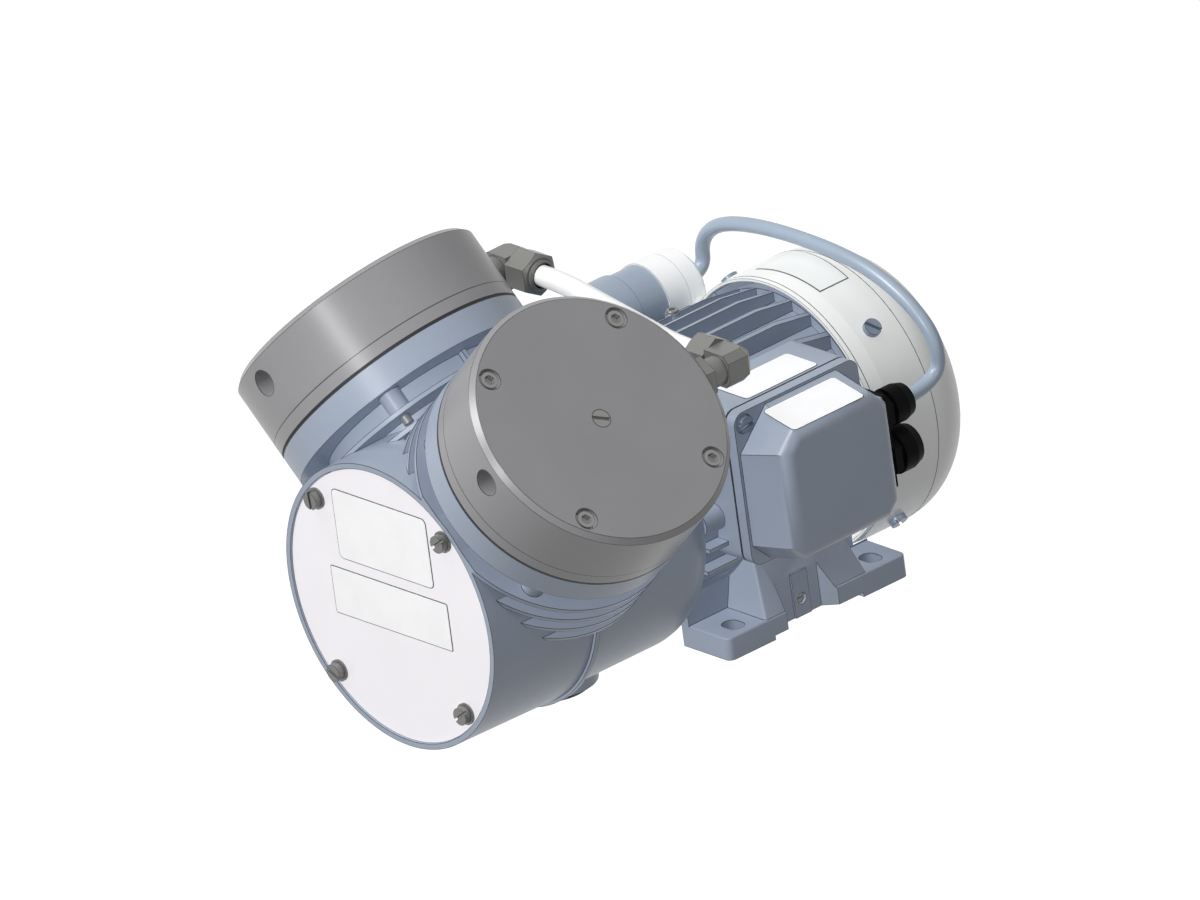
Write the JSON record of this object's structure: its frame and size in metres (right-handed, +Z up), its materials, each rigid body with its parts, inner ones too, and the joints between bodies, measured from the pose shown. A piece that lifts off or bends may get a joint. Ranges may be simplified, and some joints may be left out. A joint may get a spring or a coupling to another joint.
{
  "type": "diaphragm vacuum pump",
  "caption": "Diaphragm vacuum pump: round crankcase with inclined pumping heads joined by a tube, driven by a foot-mounted capacitor motor with terminal box and fan cowl.",
  "frame": {"origin": "middle of the four foot holes, on the underside of the motor feet", "axes": "+X towards the terminal box, +Y along the shaft from the front cover to the fan cowl, +Z up"},
  "size_m": [0.3258, 0.3673, 0.2509],
  "materials": {
    "bearing_steel": "polished",
    "black_plastic": "matte",
    "blue_grey_can": "satin",
    "blue_grey_casting": "satin",
    "cable_grey": "satin",
    "copper_winding": "satin",
    "core_steel": "matte",
    "diaphragm_rubber": "matte",
    "foot_rubber": "matte",
    "grey_fitting": "satin",
    "grey_head": "satin",
    "pale_cover": "satin",
    "rod_metal": "satin",
    "spring_steel": "polished",
    "white_cowl": "satin",
    "white_tube": "satin",
    "zinc_screws": "satin"
  },
  "bodies": {
    "housing": {"cable_entry_plate": "black_plastic", "capacitor_cable": "cable_grey", "capacitor_can": "blue_grey_can", "capacitor_cap": "pale_cover", "capacitor_clamp": "blue_grey_can", "centre_screws": "zinc_screws", "compression_nuts": "grey_fitting", "cover_screws": "zinc_screws", "cowl_screws": "zinc_screws", "crankcase": "blue_grey_casting", "earth_screw": "zinc_screws", "fan_cowl": "white_cowl", "flange_screws": "zinc_screws", "front_cover": "pale_cover", "head_screws": "zinc_screws", "left_diaphragm": "diaphragm_rubber", "left_elbow": "grey_fitting", "left_head_cap": "grey_head", "left_valve_disc": "spring_steel", "left_valve_plate": "grey_head", "lid_gasket": "diaphragm_rubber", "lid_screws": "zinc_screws", "lower_cable_gland": "black_plastic", "motor_bearing_outer_rings": "bearing_steel", "motor_frame": "blue_grey_casting", "port_collars": "grey_fitting", "rear_end_shield": "blue_grey_casting", "right_diaphragm": "diaphragm_rubber", "right_elbow": "grey_fitting", "right_head_cap": "grey_head", "right_valve_disc": "spring_steel", "right_valve_plate": "grey_head", "rubber_foot": "foot_rubber", "shaft_seal": "diaphragm_rubber", "stator_core": "core_steel", "terminal_block": "black_plastic", "terminal_box_base": "blue_grey_casting", "terminal_box_lid": "blue_grey_casting", "transfer_tube": "white_tube", "upper_cable_gland": "black_plastic", "winding_ends": "copper_winding"},
    "crankshaft": {"motor_shaft": "bearing_steel", "rotor_core": "core_steel", "fan": "black_plastic", "eccentric": "bearing_steel", "rod_bearing_inner_rings": "bearing_steel", "motor_bearing_inner_rings": "bearing_steel"},
    "right_rod": {"right_connecting_rod": "rod_metal", "right_rod_bearing": "bearing_steel", "right_support_disc": "rod_metal", "right_clamp_disc": "rod_metal"},
    "left_rod": {"left_connecting_rod": "rod_metal", "left_rod_bearing": "bearing_steel", "left_support_disc": "rod_metal", "left_clamp_disc": "rod_metal"}
  },
  "joints": [
    {"name": "shaft_spin", "type": "hinge", "parent": "housing", "child": "crankshaft", "pos_m": [0, 0, 0.08], "axis": [0, 1, 0], "continuous": true},
    {"name": "right_rod_swing", "type": "hinge", "parent": "crankshaft", "child": "right_rod", "pos_m": [0, -0.1603, 0.0755], "axis": [0, 1, 0], "continuous": true, "deforming": ["right_diaphragm"]},
    {"name": "left_rod_swing", "type": "hinge", "parent": "crankshaft", "child": "left_rod", "pos_m": [0, -0.14, 0.0755], "axis": [0, 1, 0], "continuous": true, "deforming": ["left_diaphragm"]}
  ],
  "couplings": [
    {"joint": "right_rod_swing", "follows": "shaft_spin", "ratio": -1},
    {"joint": "left_rod_swing", "follows": "shaft_spin", "ratio": -1}
  ]
}
